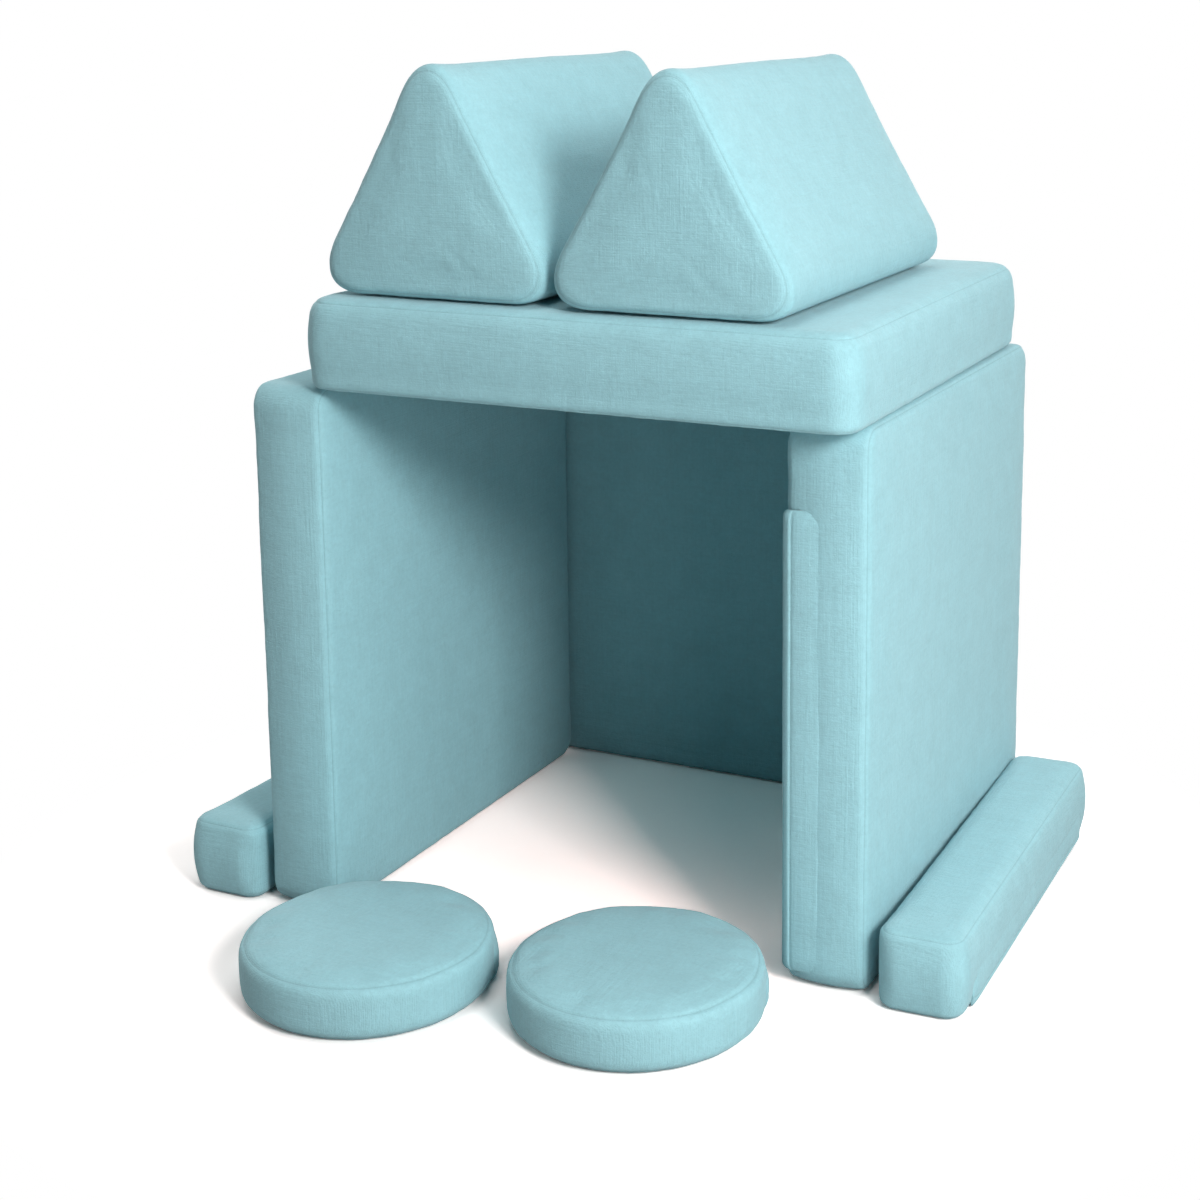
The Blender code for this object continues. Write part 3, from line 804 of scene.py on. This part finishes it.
# ---------------------------------------------------------------------------
# Round cushions: two discs of foam on the floor in front of the house.
# Two circles of cloth and a boxing strip between them, the seams at the rims.
# ---------------------------------------------------------------------------
ROUND_RADIUS = 0.148
ROUND_HEIGHT = 0.072
ROUND_RIM = 0.018
ROUND_CROWN = 0.0028
ROUND_BELLY = 0.0018
ROUND_SLACK = 0.0009
ROUND_EASE = 0.0005
ROUND_PITCH = 0.010
ROUND_ZIP_HEIGHT = 0.024
ROUND_FACET = math.tau / 40
ROUND_ZIP_SWEEP = 14 * ROUND_FACET


def round_cushion(name):
    """A round cushion. The zip lies flat on the solid's facets, so the cloth follows them there."""
    low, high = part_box(name + "_cover")
    radius, half, rim = ROUND_RADIUS - ROUND_EASE, ROUND_HEIGHT / 2 - ROUND_EASE, ROUND_RIM
    bm = bmesh.new()
    bmesh.ops.create_circle(bm, cap_ends=True, segments=80, radius=radius)
    bm = drum(bm, radius, half, rim, ROUND_PITCH)
    swell_boxing(bm, ROUND_BELLY, half, lambda normal: 1.0)
    stuff(bm, ROUND_CROWN, resting_below)
    bm = smooth_once(bm)
    rumple(bm, resting_below, ROUND_SLACK)
    sew(bm)
    zip_height = ROUND_ZIP_HEIGHT - ROUND_HEIGHT / 2
    open_for_zip(bm, 2, zip_height)
    setback = ROUND_ZIP_HEIGHT - ROUND_RIM
    zip_length = ROUND_ZIP_SWEEP * ROUND_RADIUS
    for vertex in bm.verts:
        reach, turn = Vector(vertex.co.xy).length, math.atan2(vertex.co.x, vertex.co.y)
        if reach < radius - rim - 0.002:
            continue
        from_middle = turn % ROUND_FACET - ROUND_FACET / 2
        side = ROUND_RADIUS * math.cos(ROUND_FACET / 2) / math.cos(from_middle)
        below, along = zip_height - vertex.co.z, turn * ROUND_RADIUS
        across, out = let_down(below, along, reach - side, zip_length, rim, setback)
        vertex.co.x *= (side + out) / reach
        vertex.co.y *= (side + out) / reach
        vertex.co.z = zip_height - across
    place = Matrix.Translation(above(low, high, low.z + ROUND_HEIGHT / 2))
    finish_cushion(name, bm, place)
    flap = flap_strip(1, zip_length, flap_section(rim, setback, 50, ROUND_BELLY))
    for vertex in flap.verts:
        across, along, out = vertex.co
        turn, reach = along / ROUND_RADIUS, ROUND_RADIUS + out
        vertex.co = Vector((reach * math.sin(turn), reach * math.cos(turn), zip_height - across))
    bmesh.ops.transform(flap, matrix=place, verts=flap.verts)
    finish_flap(name, flap)


round_cushion("left_round")
round_cushion("right_round")

# ---------------------------------------------------------------------------
# Zips: a nylon coil on woven tape, sewn into a slot of each cover, and a small
# die-cast slider that runs on it. Both lie under the flap of cloth beside them.
# ---------------------------------------------------------------------------
TAPE_COLOUR = (0.12, 0.27, 0.30, 1.0)


def slider_material():
    material = bpy.data.materials.new("die_cast_slider")
    material.use_nodes = True
    tree = material.node_tree
    shader = tree.nodes["Principled BSDF"]
    shader.inputs["Metallic"].default_value = 1.0
    place = new_node(tree, "ShaderNodeTexCoord").outputs["Object"]
    wear = new_node(tree, "ShaderNodeTexNoise")
    wear.inputs["Scale"].default_value = 900.0
    join(tree, place, wear.inputs["Vector"])
    ramp = new_node(tree, "ShaderNodeValToRGB")
    ramp.color_ramp.elements[0].color = (0.30, 0.31, 0.32, 1)
    ramp.color_ramp.elements[1].color = (0.62, 0.63, 0.64, 1)
    join(tree, wear.outputs["Fac"], ramp.inputs["Fac"])
    join(tree, ramp.outputs["Color"], shader.inputs["Base Color"])
    rough = sum_up(tree, "ADD", sum_up(tree, "MULTIPLY", wear.outputs["Fac"], 0.25), 0.25)
    join(tree, rough, shader.inputs["Roughness"])
    return material


ZIP_MATERIALS = {
    "zip": cloth_material("zip_tape_weave", TAPE_COLOUR, 0.8, 0.0003),
    "slider": slider_material(),
}
for name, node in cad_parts.items():
    kind = name.split("_")[-1]
    if kind in ZIP_MATERIALS:
        node.data.materials.clear()
        node.data.materials.append(ZIP_MATERIALS[kind])

# ---------------------------------------------------------------------------
# Studio: a flat white floor that fades to white away from the house, one broad soft key
# lamp to the right and in front, weaker ones all round and above, a world white to the camera, and the
# camera.
# ---------------------------------------------------------------------------
FLOOR_SIZE = 14
FLOOR_FADES = (0.62, 0.86)
# Painted light: round the den the camera sees the floor paler and redder than further out, lifting the
# den's shade and taking the teal bounce out of it.
DEN_MIDDLE = (0, 0.15, 0)
PAINTED_DEN_LIGHT_FADES = (0.28, 0.52)
PLAIN_FLOOR = (0.5, 0.5, 0.5, 1)
DEN_FLOOR_PAINTED_LIGHT = (2.3, 1.78, 1.67, 1)
FLOOR_SEEN_OUTSIDE = (1.6, 1.48, 1.44, 1)
WHITE = (1, 1, 1, 1)


def fade(tree, distance, limits):
    """0 nearer than the first limit and 1 beyond the second."""
    ramp = new_node(tree, "ShaderNodeMapRange", interpolation_type="SMOOTHSTEP")
    ramp.inputs["From Min"].default_value, ramp.inputs["From Max"].default_value = limits
    join(tree, distance, ramp.inputs["Value"])
    return ramp.outputs["Result"]


def floor():
    """A plain floor that the camera sees paler than it is, paler and redder still round the den with
    painted light, and white away from the house.
    """
    bm = bmesh.new()
    bmesh.ops.create_grid(bm, x_segments=1, y_segments=1, size=FLOOR_SIZE)
    mesh = bpy.data.meshes.new("floor")
    bm.to_mesh(mesh)
    bm.free()
    plane = bpy.data.objects.new("floor", mesh)
    bpy.context.scene.collection.objects.link(plane)
    material = bpy.data.materials.new("white_floor")
    material.use_nodes = True
    tree = material.node_tree
    tree.nodes.clear()
    rays = new_node(tree, "ShaderNodeLightPath").outputs["Is Camera Ray"]
    seen = new_node(tree, "ShaderNodeMix", data_type="RGBA", clamp_result=False)
    join(tree, rays, seen.inputs["Factor"])
    seen.inputs["A"].default_value = PLAIN_FLOOR
    place = new_node(tree, "ShaderNodeTexCoord").outputs["Object"]
    from_den = new_node(tree, "ShaderNodeVectorMath", operation="DISTANCE")
    join(tree, place, from_den.inputs[0])
    from_den.inputs[1].default_value = DEN_MIDDLE
    # Painted light round the den: the camera's floor colour fades from the den's paler, redder one to
    # the plain one further out.
    tint = new_node(tree, "ShaderNodeMix", data_type="RGBA", clamp_result=False)
    join(tree, fade(tree, from_den.outputs["Value"], PAINTED_DEN_LIGHT_FADES), tint.inputs["Factor"])
    tint.inputs["A"].default_value = DEN_FLOOR_PAINTED_LIGHT
    tint.inputs["B"].default_value = FLOOR_SEEN_OUTSIDE
    join(tree, tint.outputs["Result"], seen.inputs["B"])
    paper = new_node(tree, "ShaderNodeBsdfDiffuse")
    join(tree, seen.outputs["Result"], paper.inputs["Color"])
    reach = new_node(tree, "ShaderNodeVectorMath", operation="LENGTH")
    join(tree, place, reach.inputs[0])
    away = fade(tree, reach.outputs["Value"], FLOOR_FADES)
    glow = new_node(tree, "ShaderNodeEmission")
    glow.inputs["Color"].default_value = WHITE
    surface = new_node(tree, "ShaderNodeMixShader")
    join(tree, sum_up(tree, "MULTIPLY", rays, away), surface.inputs[0])
    join(tree, paper.outputs[0], surface.inputs[1])
    join(tree, glow.outputs[0], surface.inputs[2])
    out = new_node(tree, "ShaderNodeOutputMaterial")
    join(tree, surface.outputs[0], out.inputs["Surface"])
    mesh.materials.append(material)


def soft_lamp(name, place, size, power, aim=(0, 0, 0.5)):
    """A square lamp of this size and power, turned towards the middle of the house."""
    light = bpy.data.lights.new(name, "AREA")
    light.shape = "SQUARE"
    light.size = size
    light.energy = power
    lamp = bpy.data.objects.new(name, light)
    lamp.location = place
    lamp.rotation_euler = (Vector(aim) - Vector(place)).to_track_quat("-Z", "Y").to_euler()
    bpy.context.scene.collection.objects.link(lamp)


def studio_world():
    """White to the camera, and a weak cool light from all round to everything else."""
    world = bpy.data.worlds.new("studio")
    world.use_nodes = True
    tree = world.node_tree
    tree.nodes.clear()
    out = new_node(tree, "ShaderNodeOutputWorld")
    ambient = new_node(tree, "ShaderNodeBackground")
    ambient.inputs["Color"].default_value = (0.93, 0.97, 1.0, 1)
    ambient.inputs["Strength"].default_value = 0.02
    white = new_node(tree, "ShaderNodeBackground")
    white.inputs["Color"].default_value = WHITE
    white.inputs["Strength"].default_value = 1.0
    rays = new_node(tree, "ShaderNodeLightPath")
    seen = sum_up(tree, "MAXIMUM", rays.outputs["Is Camera Ray"], rays.outputs["Is Glossy Ray"])
    seen = sum_up(tree, "MAXIMUM", seen, rays.outputs["Is Transmission Ray"])
    mix = new_node(tree, "ShaderNodeMixShader")
    join(tree, seen, mix.inputs[0])
    join(tree, ambient.outputs[0], mix.inputs[1])
    join(tree, white.outputs[0], mix.inputs[2])
    join(tree, mix.outputs[0], out.inputs[0])
    bpy.context.scene.world = world


def camera():
    data = bpy.data.cameras.new("camera")
    data.sensor_width = 36.0
    data.lens = 62.354
    data.shift_x, data.shift_y = -0.1281, -0.1932
    data.clip_end = 60.0
    camera = bpy.data.objects.new("camera", data)
    camera.location = (1.1949, -2.2615, 1.1709)
    camera.rotation_euler = (math.radians(90 - 10.64), 0, math.radians(24.13))
    bpy.context.scene.collection.objects.link(camera)
    bpy.context.scene.camera = camera


floor()
soft_lamp("key", (2.8, -2.0, 2.2), 0.9, 98)
soft_lamp("side", (2.6, -0.9, 1.5), 1.2, 20)
soft_lamp("near", (1.3, -1.2, 0.6), 0.6, 4.5, aim=(0.3, -0.2, 0.4))
soft_lamp("top", (0.2, -0.3, 3.4), 2.0, 36)
soft_lamp("fill", (-2.6, -2.0, 1.6), 2.0, 14)
soft_lamp("left", (-3.0, 1.2, 1.5), 2.0, 42)
soft_lamp("back", (0.2, 3.4, 1.5), 2.0, 65)
studio_world()
camera()
bpy.context.scene.view_settings.view_transform = "Standard"
